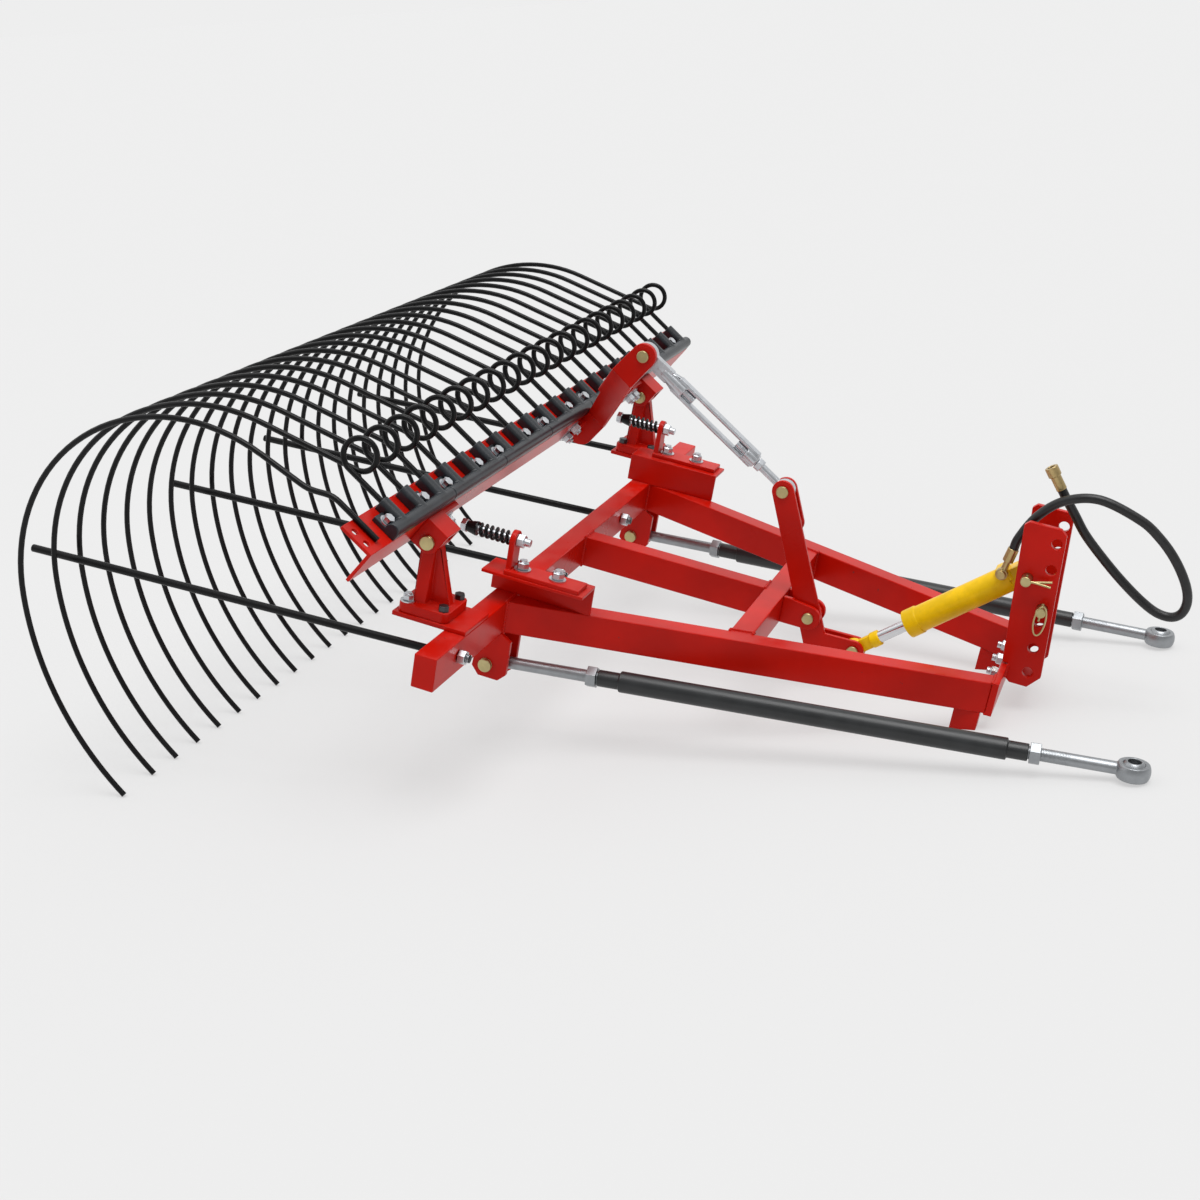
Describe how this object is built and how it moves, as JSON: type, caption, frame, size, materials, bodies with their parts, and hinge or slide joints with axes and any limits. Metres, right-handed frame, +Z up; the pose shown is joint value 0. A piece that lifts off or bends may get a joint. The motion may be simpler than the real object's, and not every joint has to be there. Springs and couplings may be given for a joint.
{
  "type": "mounted hay dump rake",
  "caption": "Tractor-mounted dump rake: a hinged row of curved coil tines on a tubular frame, lifted by a cylinder, lever and turnbuckle, with lower links and a hitch tower.",
  "frame": {"origin": "on the floor, under the middle of the rear cross tube, in the machine's middle plane", "axes": "+X forward to the tractor, +Y to the left, +Z up"},
  "size_m": [1.9532, 1.656, 0.689],
  "materials": {
    "red_paint": "gloss",
    "black_paint": "satin",
    "polymer": "matte",
    "zinc": "satin",
    "yellow_zinc": "satin",
    "spring_steel": "satin",
    "yellow_paint": "gloss",
    "chrome": "polished",
    "hose_rubber": "matte",
    "brass": "satin"
  },
  "bodies": {
    "frame": {"cross_tube": "red_paint", "side_beam_right": "red_paint", "side_beam_left": "red_paint", "centre_beam": "red_paint", "mid_crossbeam": "red_paint", "front_plate": "red_paint", "front_feet": "red_paint", "lever_bracket": "red_paint", "lever_pivot_pin": "yellow_zinc", "link_ears": "red_paint", "link_pins": "yellow_zinc", "post_seats": "red_paint", "post_right": "red_paint", "post_left": "red_paint", "hinge_pins": "yellow_zinc", "stop_seats": "red_paint", "stop_tabs": "red_paint", "stop_bolts": "zinc", "stop_springs": "spring_steel", "stripper_rods": "black_paint", "stripper_nuts": "zinc", "tower_plates": "red_paint", "tower_web": "red_paint", "tower_pins": "yellow_zinc"},
    "rake_bar": {"tine_bar": "red_paint", "hinge_brackets": "red_paint", "tine_holder_1": "polymer", "tine_holder_2": "polymer", "tine_holder_3": "polymer", "tine_holder_4": "polymer", "tine_holder_5": "polymer", "tine_holder_6": "polymer", "tine_holder_7": "polymer", "tines_1": "black_paint", "tines_2": "black_paint", "tines_3": "black_paint", "tines_4": "black_paint", "tines_5": "black_paint", "tines_6": "black_paint", "tines_7": "black_paint", "end_tine": "black_paint", "lift_arm": "red_paint", "arm_pin": "yellow_zinc"},
    "turnbuckle": {"turnbuckle_body": "zinc", "turnbuckle_ends": "zinc"},
    "lever": {"lever": "red_paint", "lever_pins": "yellow_zinc"},
    "barrel": {"cylinder_barrel": "yellow_paint", "hose": "hose_rubber", "hose_fittings": "brass"},
    "rod": {"cylinder_rod": "chrome"},
    "link_right": {"link_right_tube": "black_paint", "link_right_ends": "zinc"},
    "link_left": {"link_left_tube": "black_paint", "link_left_ends": "zinc"}
  },
  "joints": [
    {"name": "rake_lift", "type": "hinge", "parent": "frame", "child": "rake_bar", "pos_m": [-0.03733, 0, 0.43765], "axis": [0, 1, 0], "range_deg": [0, 45]},
    {"name": "turnbuckle_swing", "type": "hinge", "parent": "rake_bar", "child": "turnbuckle", "pos_m": [0.1642, 0, 0.63918], "axis": [0, -1, 0], "range_deg": [0, 75.7]},
    {"name": "lever_swing", "type": "hinge", "parent": "frame", "child": "lever", "pos_m": [0.46604, 0, 0.14403], "axis": [0, 1, 0], "range_deg": [0, 42.95]},
    {"name": "barrel_swing", "type": "hinge", "parent": "frame", "child": "barrel", "pos_m": [0.87538, 0, 0.25555], "axis": [0, -1, 0], "range_deg": [0, 0.65]},
    {"name": "rod_slide", "type": "slide", "parent": "barrel", "child": "rod", "axis": [-0.8794, 0, -0.4761], "range_m": [0, 0.0768]},
    {"name": "link_right_swing", "type": "hinge", "parent": "frame", "child": "link_right", "pos_m": [-0.02241, -0.4, 0.16565], "axis": [0, -1, 0], "range_deg": [0, 6]},
    {"name": "link_left_swing", "type": "hinge", "parent": "frame", "child": "link_left", "pos_m": [-0.02241, 0.4, 0.16565], "axis": [0, -1, 0], "range_deg": [0, 6]}
  ],
  "couplings": [
    {"joint": "turnbuckle_swing", "follows": "rake_lift", "ratio": 1.6809},
    {"joint": "lever_swing", "follows": "rake_lift", "ratio": 0.95302},
    {"joint": "barrel_swing", "follows": "rake_lift", "ratio": 0.0133},
    {"joint": "rod_slide", "follows": "rake_lift", "m_per_rad": 0.09773}
  ]
}
